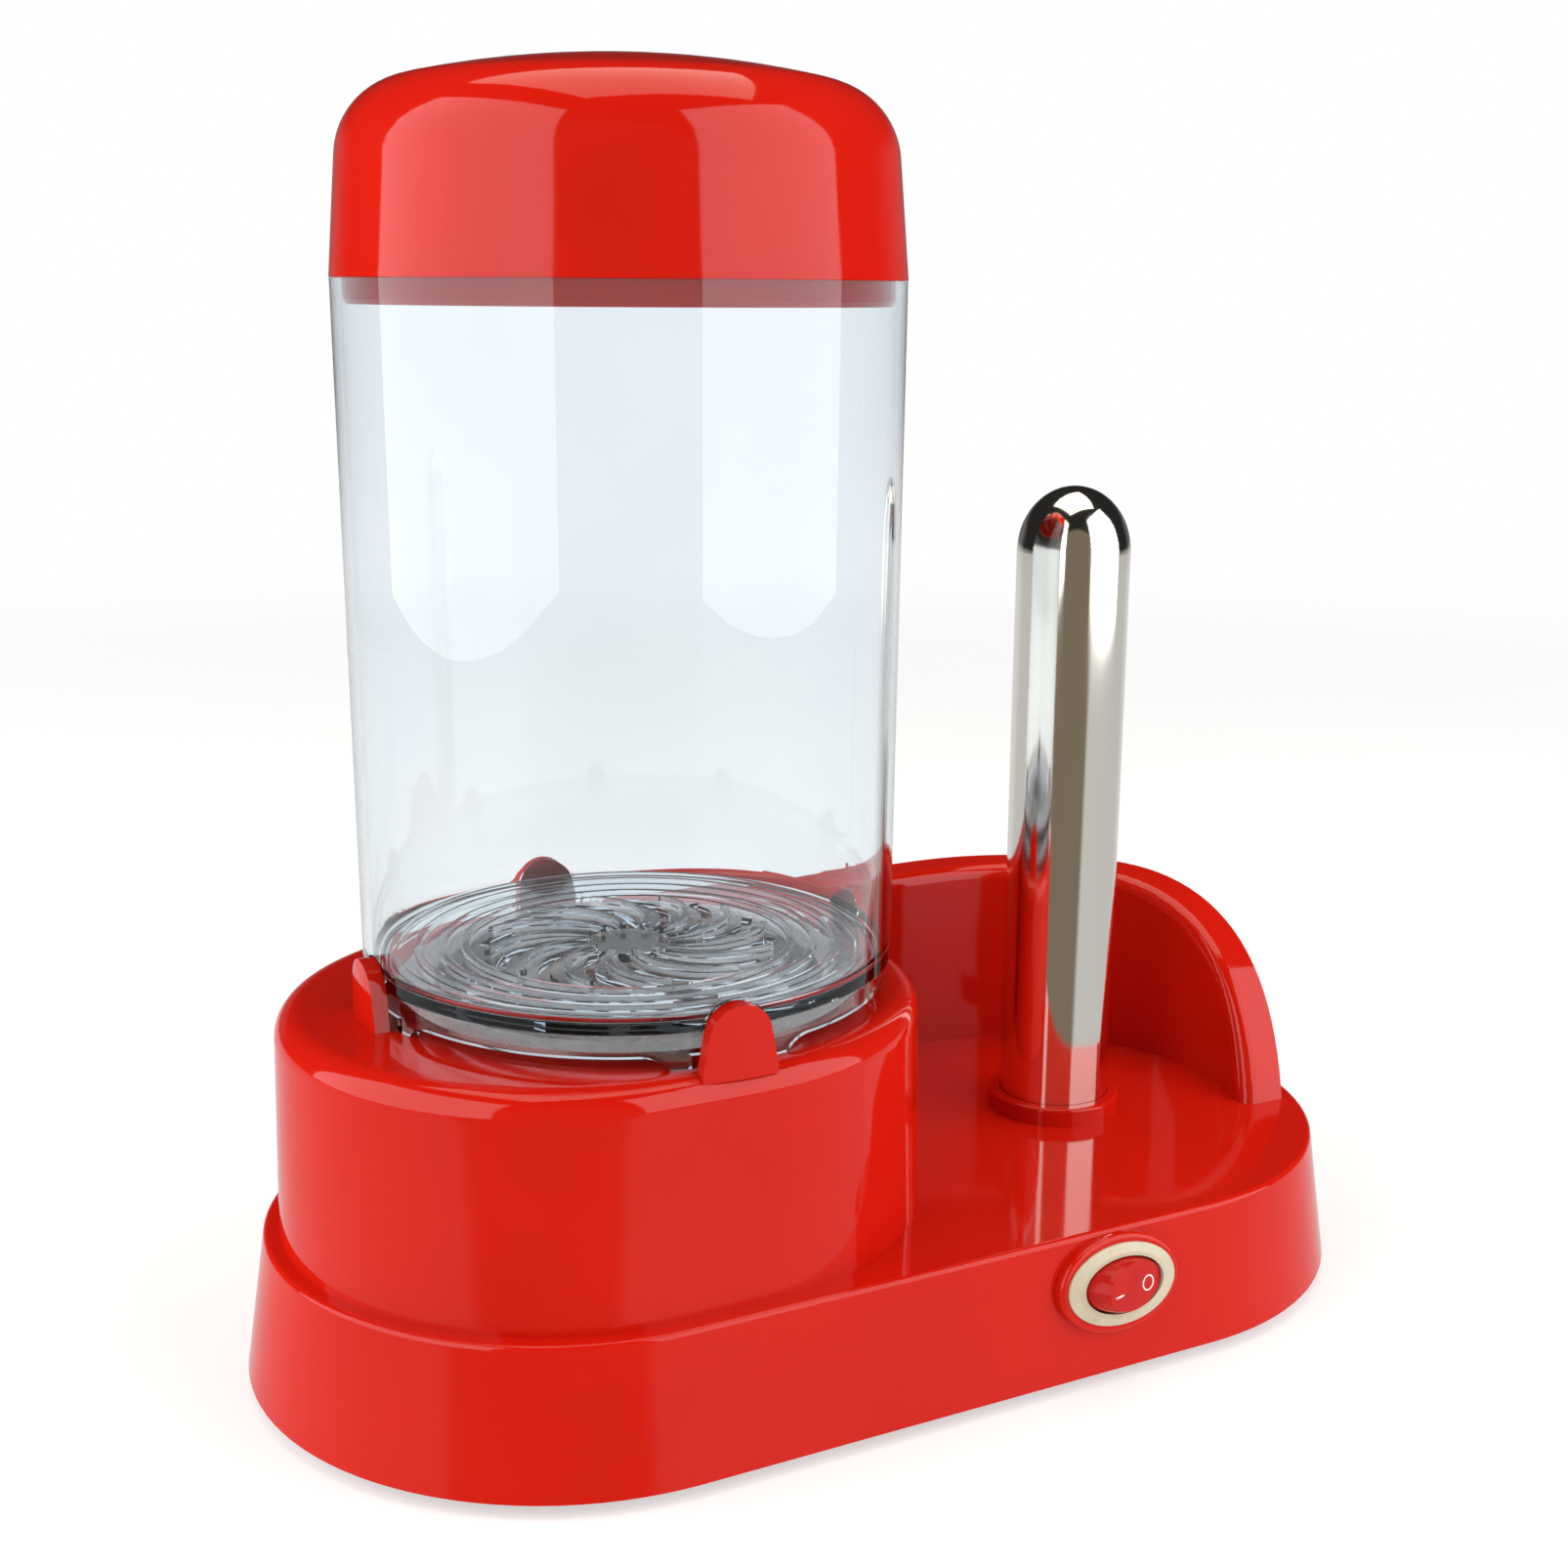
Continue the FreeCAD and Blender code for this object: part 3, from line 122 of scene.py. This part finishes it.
# Brackets, nuts and the cans of thermostat and fuse: pressed steel, zinc plated, and slightly
# uneven from the bath. They hold the dish's heater and the spike from below.
zinc = finish("zinc plate", ((0.55, 0.56, 0.58), (0.66, 0.66, 0.66)), 0.008, (0.24, 0.36), 0.0006, 0.000008,
              Metallic=1.0)
for plated in ("dish_strap", "dish_nuts", "thermostat", "thermal_fuse", "fuse_clip", "spike_clamp_plate"):
    dress(plated, zinc)


# Screws: pan heads with a cross recess, and a coarse thread that cuts its way into the moulded
# posts. They are rolled from wire and zinc plated; six close the base, two hold the spike and two
# the cord's clamp.
screw_head_height = 0.0018
screw_shank_radius = 0.0015
thread_pitch = 0.0011
thread_depth = 0.0003
screw_tip = 0.0016
screw_point = 0.15
screw_sides = 24
rows_per_turn = 8
head_outline = ((0.5, 1.0), (0.82, 0.92), (0.96, 0.72), (1.0, 0.45), (1.0, 0.0))
recess_reach = 0.58
recess_half_width = 0.17
recess_rows = ((1.1, 1.2), (0.55, 0.35))
turn_between_screws = 0.9
sharp_edge = math.radians(40.0)


def closed_form(name, rings):
    """A mesh through like rings of points, closed flat at both ends."""
    form = bmesh.new()
    rows = [[form.verts.new(point) for point in ring] for ring in rings]
    for row, after in zip(rows, rows[1:]):
        for index in range(len(row)):
            following = (index + 1) % len(row)
            form.faces.new((row[index], row[following], after[following], after[index]))
    form.faces.new(rows[0])
    form.faces.new(rows[-1])
    bmesh.ops.recalc_face_normals(form, faces=form.faces)
    mesh = bpy.data.meshes.new(name)
    form.to_mesh(mesh)
    form.free()
    return bpy.data.objects.new(name, mesh)


def thread_radius(height, turn, length):
    """The shank's radius at one place: a ridge that climbs one pitch a turn and dies out at the tip."""
    ridge = abs((height / thread_pitch - turn) % 1.0 * 2.0 - 1.0)
    taper = min(1.0, screw_point + (length - height) / screw_tip)
    return (screw_shank_radius - thread_depth * (1.0 - ridge)) * taper


def cut_screw(head_radius, length):
    """One screw with its seat at the origin, its head below and its shank above."""
    turns = [side / screw_sides for side in range(screw_sides)]
    rings = []
    for out, down in head_outline:
        reach = head_radius * out
        rings.append([(reach * math.cos(math.tau * turn), reach * math.sin(math.tau * turn),
                       -screw_head_height * down) for turn in turns])
    rows = round(length / thread_pitch * rows_per_turn)
    for row in range(rows + 1):
        height = length * row / rows
        radii = [thread_radius(height, turn, length) for turn in turns]
        rings.append([(radius * math.cos(math.tau * turn), radius * math.sin(math.tau * turn), height)
                      for radius, turn in zip(radii, turns)])
    screw = closed_form("screw", rings)
    long = recess_reach * head_radius
    wide = recess_half_width * head_radius
    quarter = [(wide, wide), (wide, long), (-wide, long)]
    cross = [Matrix.Rotation(math.pi / 2 * step, 2) @ Vector(point) for step in range(4) for point in quarter]
    cutter = closed_form("recess", [[(point.x * size, point.y * size, -screw_head_height * down)
                                     for point in cross] for size, down in recess_rows])
    for piece in (screw, cutter):
        bpy.context.scene.collection.objects.link(piece)
    cut = screw.modifiers.new("recess", "BOOLEAN")
    cut.object = cutter
    cut.solver = "EXACT"
    bpy.context.view_layer.update()
    mesh = bpy.data.meshes.new_from_object(screw.evaluated_get(bpy.context.evaluated_depsgraph_get()))
    for piece in (screw, cutter):
        bpy.data.objects.remove(piece)
    return mesh


def screw_set(name, node, head_up):
    """Puts a cut screw in place of each plain one in a CAD node."""
    groups = []
    for vertex in frame["nodes"][node].data.vertices:
        near = [group for group in groups if (vertex.co.xy - group[0].xy).length < 4 * screw_shank_radius]
        if near:
            near[0].append(vertex.co)
        else:
            groups.append([vertex.co])
    groups.sort(key=lambda group: (round(group[0].x, 3), round(group[0].y, 3)))
    form = bmesh.new()
    for number, group in enumerate(groups):
        low = Vector([min(point[axis] for point in group) for axis in range(3)])
        high = Vector([max(point[axis] for point in group) for axis in range(3)])
        mesh = cut_screw((high.x - low.x) / 2, high.z - low.z - screw_head_height)
        seat = high.z - screw_head_height if head_up else low.z + screw_head_height
        place = Matrix.Translation(((low.x + high.x) / 2, (low.y + high.y) / 2, seat))
        flip = Matrix.Rotation(math.pi if head_up else 0.0, 4, "X")
        mesh.transform(place @ flip @ Matrix.Rotation(number * turn_between_screws, 4, "Z"))
        form.from_mesh(mesh)
        bpy.data.meshes.remove(mesh)
    mesh = bpy.data.meshes.new(name)
    form.to_mesh(mesh)
    form.free()
    for face in mesh.polygons:
        face.use_smooth = True
    mesh.set_sharp_from_angle(angle=sharp_edge)
    screws = bpy.data.objects.new(name, mesh)
    bpy.context.scene.collection.objects.link(screws)
    screws.data.materials.append(zinc)
    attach(screws, "base")
    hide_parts(node)


screw_set("base_cross_screws", "base_screws", False)
screw_set("spike_clamp_cross_screws", "spike_clamp_screws", False)
screw_set("cord_clamp_cross_screws", "cord_clamp_screws", True)


# Water dish: drawn from stainless sheet and a little browned by heat and scale. The ring under
# its lip and the one on the spike's flange are silicone rubber.
dress("water_dish", finish("dish steel", ((0.38, 0.31, 0.28), (0.48, 0.41, 0.38)), 0.02, (0.2, 0.32),
                           0.0012, 0.00001, Metallic=1.0))
silicone = finish("silicone rubber", ((0.26, 0.035, 0.02), (0.34, 0.05, 0.03)), 0.01, (0.5, 0.62),
                  0.001, 0.00001)
dress("dish_gasket", silicone)
dress("spike_seal", silicone)


# Dish heater: a steel-sheathed tube bent in a ring, browned by heat, pressed to a turned
# aluminium plate that spreads its warmth over the dish.
dress("dish_heater", finish("heater sheath", ((0.16, 0.13, 0.11), (0.30, 0.28, 0.27)), 0.008, (0.38, 0.55),
                            0.0008, 0.00002, Metallic=1.0))
dress("heat_spreader", finish("turned aluminium", ((0.58, 0.58, 0.59), (0.68, 0.68, 0.69)), 0.006,
                              (0.25, 0.4), 0.0008, 0.00002, Metallic=1.0))


# Bun spike: polished stainless tube with a closed round tip. Inside it a wound ceramic core
# carries the heat; a clamp plate holds its flange under the platform.
dress("heating_spike", finish("spike steel", ((0.87, 0.84, 0.77), (0.92, 0.89, 0.82)), 0.02, (0.06, 0.11),
                              0.004, 0.000004, stretch=(1.0, 1.0, 0.12), Metallic=1.0))
dress("spike_heater", finish("heater ceramic", ((0.70, 0.64, 0.53), (0.82, 0.78, 0.70)), 0.006, (0.7, 0.85),
                             0.0005, 0.00004))


# Rocker switch: satin cream oval bezel and body in one moulding, a glossy red rocker tinted
# right through, and brass tabs behind for the leads.
dress("switch_housing", finish("bezel cream", ((0.57, 0.49, 0.34), (0.62, 0.53, 0.38)), 0.004, (0.25, 0.34),
                               0.0006, 0.000006, Subsurface_Weight=0.05))
dress("switch_rocker", finish("rocker red", ((0.46, 0.012, 0.010), (0.51, 0.015, 0.012)), 0.004, (0.12, 0.18),
                              0.002, 0.000006, Specular_IOR_Level=0.18))
joint = next(joint for joint in frame["joints"] if joint["name"] == "rocker_tilt")
pivot = Vector(joint["pos_m"])
upward = Vector(joint["axis"])
sideways = Vector((1.0, 0.0, 0.0))
outward = sideways.cross(upward)
rest_tilt = math.radians(17.0)
face_height = 0.0050
face_out = sideways * math.sin(rest_tilt) + outward * math.cos(rest_tilt)
face_along = sideways * math.cos(rest_tilt) - outward * math.sin(rest_tilt)
print_height = 0.00005
print_white = finish("print white", ((0.82, 0.70, 0.68), (0.88, 0.78, 0.76)), 0.002, (0.35, 0.5),
                     0.0004, 0.000004)
mark_sides = 48
off_place = (0.0043, -0.0005)
on_place = (-0.0056, -0.0008)


def printed_mark(name, outlines):
    """A thin raised print on the rocker's face, filled between closed outlines drawn in metres."""
    form = bmesh.new()
    count = len(outlines[0])
    rows = []
    for outline, height in ((outlines[0], -print_height), (outlines[0], print_height),
                            (outlines[1], print_height), (outlines[1], -print_height)):
        rows.append([form.verts.new(pivot + face_along * x + upward * y + face_out * (face_height + height))
                     for x, y in outline])
    for row, after in zip(rows, rows[1:] + rows[:1]):
        for index in range(count):
            following = (index + 1) % count
            form.faces.new((row[index], row[following], after[following], after[index]))
    bmesh.ops.recalc_face_normals(form, faces=form.faces)
    mesh = bpy.data.meshes.new(name)
    form.to_mesh(mesh)
    form.free()
    mark = bpy.data.objects.new(name, mesh)
    bpy.context.scene.collection.objects.link(mark)
    mark.data.materials.append(print_white)
    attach(mark, "rocker")


def ellipse(x, y, half_length, half_height):
    """A closed outline on the rocker's face, about a place along and up it."""
    angles = [math.tau * step / mark_sides for step in range(mark_sides)]
    return [(x + half_length * math.cos(angle), y + half_height * math.sin(angle)) for angle in angles]


printed_mark("off_ring", [ellipse(*off_place, 0.0020, 0.0017), ellipse(*off_place, 0.0016, 0.0014)])
printed_mark("on_dash", [ellipse(*on_place, 0.0015, 0.00022), ellipse(*on_place, 0.0002, 0.00001)])
brass = finish("brass", ((0.62, 0.44, 0.16), (0.72, 0.53, 0.22)), 0.006, (0.22, 0.32), 0.0006, 0.000008,
               Metallic=1.0)
dress("switch_terminals", brass)


# Cord inlet: a black gland in the back wall, a clamp bar that grips the cord inside it, and a
# three-way terminal block of natural nylon.
black_nylon = finish("black nylon", ((0.012, 0.012, 0.012), (0.02, 0.02, 0.02)), 0.01, (0.38, 0.5),
                     0.0005, 0.00002)
dress("cord_gland", black_nylon)
dress("cord_clamp_bar", black_nylon)
dress("terminal_block", finish("natural nylon", ((0.66, 0.63, 0.54), (0.74, 0.71, 0.62)), 0.008, (0.3, 0.42),
                               0.0008, 0.00001, Subsurface_Weight=0.1))


# Leads: stranded copper in heat-proof silicone sleeves, from the terminal block to the switch,
# the thermostat, the fuse and the two heaters. They are pushed on their tabs inside the base.
sleeve = finish("lead sleeve", ((0.70, 0.66, 0.58), (0.80, 0.77, 0.70)), 0.006, (0.5, 0.62), 0.0008, 0.00003)
for lead in ("live_lead", "thermostat_lead", "fuse_lead_back", "fuse_lead_front", "dish_return_lead",
             "spike_feed_lead", "spike_return_lead"):
    dress(lead, sleeve)


# Sausage jar: one clear moulding with a ribbed and slotted floor. It is faintly blue-grey
# where the eye looks along its wall.
clear = finish("clear plastic", ((0.93, 0.962, 0.98), (0.95, 0.974, 0.988)), 0.03, (0.0, 0.025),
               0.012, 0.000006, Transmission_Weight=1.0, IOR=1.49)
nodes = clear.node_tree.nodes
body_tint = nodes.new("ShaderNodeVolumeAbsorption")
body_tint.inputs["Color"].default_value = (0.60, 0.72, 0.84, 1.0)
body_tint.inputs["Density"].default_value = 40.0
clear.node_tree.links.new(body_tint.outputs["Volume"], nodes["Material Output"].inputs["Volume"])
dress("sausage_jar", clear)


# Lid: polished red moulding like the base, with a low crown. A plug ring inside it drops into
# the jar's mouth.
dress("jar_lid", red_moulding("lid red"))


# Table: a plain pale floor that fades into the white behind it. It glows a little of itself, so
# that only a faint shadow stays round the base, and what shines doesn't mirror it.
floor_radius = 1.4
floor_rings = 12
floor_sides = 64
floor_fade_from = 0.35
floor_fade_to = 0.97 * floor_radius

form = bmesh.new()
loops = []
for step in range(1, floor_rings + 1):
    reach = floor_radius * step / floor_rings
    angles = [math.tau * side / floor_sides for side in range(floor_sides)]
    loops.append([form.verts.new((reach * math.cos(angle), reach * math.sin(angle), 0.0))
                  for angle in angles])
form.faces.new(loops[0])
for inner, outer in zip(loops, loops[1:]):
    for side in range(floor_sides):
        after = (side + 1) % floor_sides
        form.faces.new((inner[side], outer[side], outer[after], inner[after]))
mesh = bpy.data.meshes.new("floor")
form.to_mesh(mesh)
form.free()
floor = bpy.data.objects.new("floor", mesh)
bpy.context.scene.collection.objects.link(floor)
pale = finish("pale floor", ((0.49, 0.49, 0.49), (0.51, 0.51, 0.51)), 0.5, (0.7, 0.8), 0.01, 0.00001,
              Emission_Color=(1.0, 1.0, 1.0, 1.0), Emission_Strength=0.53)
nodes = pale.node_tree.nodes
links = pale.node_tree.links
place = nodes.new("ShaderNodeTexCoord")
reach = nodes.new("ShaderNodeVectorMath")
reach.operation = "LENGTH"
links.new(place.outputs["Object"], reach.inputs[0])
fade = nodes.new("ShaderNodeMapRange")
fade.interpolation_type = "SMOOTHSTEP"
fade.inputs["From Min"].default_value = floor_fade_from
fade.inputs["From Max"].default_value = floor_fade_to
links.new(reach.outputs["Value"], fade.inputs["Value"])
gone = nodes.new("ShaderNodeBsdfTransparent")
edge = nodes.new("ShaderNodeMixShader")
links.new(fade.outputs["Result"], edge.inputs["Fac"])
links.new(nodes["Principled BSDF"].outputs["BSDF"], edge.inputs[1])
links.new(gone.outputs["BSDF"], edge.inputs[2])
links.new(edge.outputs["Shader"], nodes["Material Output"].inputs["Surface"])
floor.data.materials.append(pale)
floor.visible_glossy = False


# Studio light: a tall soft box on each side of the object and one overhead, which are mirrored as
# the broad bands down the lid and the drum. Two weaker ones, which aren't mirrored, light the
# back edges.
panel_distance = 0.95
panel_top = 1.5
full_light = 2.35
fill_light = 1.0


def soft_box(name, place, tilt, width, height, brightness):
    """A flat panel of even light; its light leaves it at right angles."""
    light = bpy.data.lights.new(name, "AREA")
    light.shape = "RECTANGLE"
    light.size = width
    light.size_y = height
    light.energy = brightness * math.pi * width * height
    panel = bpy.data.objects.new(name, light)
    bpy.context.scene.collection.objects.link(panel)
    panel.location = place
    panel.rotation_euler = tilt
    panel.visible_camera = False
    panel.visible_transmission = False
    return panel


def upright_box(name, azimuth, width, brightness):
    """A panel that stands on the table's level and faces the object."""
    turn = math.radians(azimuth)
    place = (panel_distance * math.cos(turn), panel_distance * math.sin(turn), panel_top / 2)
    return soft_box(name, place, (math.radians(90.0), 0.0, turn + math.radians(90.0)), width, panel_top,
                    brightness)


upright_box("left soft box", 182.0, 1.5, full_light)
upright_box("right soft box", -53.6, 1.19, full_light)
for side, azimuth in (("left", 132.0), ("right", -10.0)):
    upright_box(side + " fill", azimuth, 1.2, fill_light).visible_glossy = False
overhead = soft_box("overhead soft box", (0.1, 0.15, 1.5), (0.0, 0.0, 0.0), 1.2, 1.2, 2.3)
overhead.data.color = (1.0, 0.94, 0.80)


# Room: nearly dark, but for a soft wall behind the object, the pale table to either side, and the
# warm front of the room, which only shows in what shines. Seen straight or through the jar, it is
# the white of the backdrop.
room_glow = 0.02
wall_glow = 0.12
table_glow = 0.55
front_glow = (0.18, 0.14, 0.10)
front_azimuth = -119.0
upward_look = (0.0, 0.0, 1.0)
downward_look = (0.0, 0.0, -1.0)
faces_before_jar_floor = 4.5
white = (1.0, 1.0, 1.0)
studio = bpy.data.worlds.new("studio")
bpy.context.scene.world = studio
studio.use_nodes = True
nodes = studio.node_tree.nodes
links = studio.node_tree.links
place = nodes.new("ShaderNodeTexCoord")
ray = nodes.new("ShaderNodeLightPath")


def towards(azimuth):
    """The level look in one direction."""
    return (math.cos(math.radians(azimuth)), math.sin(math.radians(azimuth)), 0.0)


def fades_in(direction, start, end):
    """Rises from nothing to full as the look turns towards the direction."""
    facing = nodes.new("ShaderNodeVectorMath")
    facing.operation = "DOT_PRODUCT"
    facing.inputs[1].default_value = direction
    links.new(place.outputs["Generated"], facing.inputs[0])
    rise = nodes.new("ShaderNodeMapRange")
    rise.interpolation_type = "SMOOTHSTEP"
    rise.inputs["From Min"].default_value = start
    rise.inputs["From Max"].default_value = end
    links.new(facing.outputs["Value"], rise.inputs["Value"])
    return rise.outputs["Result"]


def reckon(operation, first, second):
    """One sum of two values, each a number or a node's output."""
    sum_node = nodes.new("ShaderNodeMath")
    sum_node.operation = operation
    for socket, value in zip(sum_node.inputs, (first, second)):
        if isinstance(value, float):
            socket.default_value = value
        else:
            links.new(value, socket)
    return sum_node.outputs["Value"]


def glowing(colour, strength):
    """A glow of one colour, as strong as a number or a node's output says."""
    light = nodes.new("ShaderNodeBackground")
    light.inputs["Color"].default_value = (*colour, 1.0)
    if isinstance(strength, float):
        light.inputs["Strength"].default_value = strength
    else:
        links.new(strength, light.inputs["Strength"])
    return light.outputs["Background"]


ahead = fades_in(towards(front_azimuth), 0.76, 0.84)
level = reckon("SUBTRACT", 1.0, fades_in(upward_look, 0.10, 0.25))
wall = reckon("MULTIPLY", fades_in(towards(front_azimuth + 180.0), 0.55, 0.85), level)
table_sides = reckon("MULTIPLY", fades_in(downward_look, 0.03, 0.14), reckon("SUBTRACT", 1.0, ahead))
white_glow = reckon("ADD", reckon("MULTIPLY", wall, wall_glow), reckon("MULTIPLY", table_sides, table_glow))
in_shine = reckon("MULTIPLY", ahead, reckon("SUBTRACT", 1.0, ray.outputs["Is Diffuse Ray"]))
room = nodes.new("ShaderNodeAddShader")
links.new(glowing(white, reckon("ADD", room_glow, white_glow)), room.inputs[0])
links.new(glowing(front_glow, in_shine), room.inputs[1])
before_jar_floor = reckon("LESS_THAN", ray.outputs["Transmission Depth"], faces_before_jar_floor)
mirrored = reckon("MULTIPLY", reckon("MINIMUM", ray.outputs["Glossy Depth"], 1.0), before_jar_floor)
mirrored = reckon("MULTIPLY", mirrored, fades_in(upward_look, 0.02, 0.12))
through = reckon("MULTIPLY", ray.outputs["Is Transmission Ray"], reckon("SUBTRACT", 1.0, mirrored))
choice = nodes.new("ShaderNodeMixShader")
links.new(reckon("MAXIMUM", ray.outputs["Is Camera Ray"], through), choice.inputs["Fac"])
links.new(room.outputs["Shader"], choice.inputs[1])
links.new(glowing(white, 1.0), choice.inputs[2])
links.new(choice.outputs["Shader"], nodes["World Output"].inputs["Surface"])
nodes.remove(nodes["Background"])
bpy.context.scene.view_settings.view_transform = "Standard"


# Camera: where the photograph was taken from, left of the front and level with the lid's rim. It
# looks slightly down.
lens_place = Vector((-0.2167, -0.3966, 0.2285))
lens_right = Vector((0.88685, -0.46201, 0.00651))
lens_up = Vector((0.10114, 0.20784, 0.97292))
lens_back = -Vector((0.45085, 0.86217, -0.23105))
view = bpy.data.cameras.new("camera")
view.lens = 47.80
view.sensor_width = 36.0
camera = bpy.data.objects.new("camera", view)
bpy.context.scene.collection.objects.link(camera)
turn = Matrix((lens_right, lens_up, lens_back)).transposed()
camera.matrix_world = Matrix.Translation(lens_place) @ turn.to_4x4()
bpy.context.scene.camera = camera
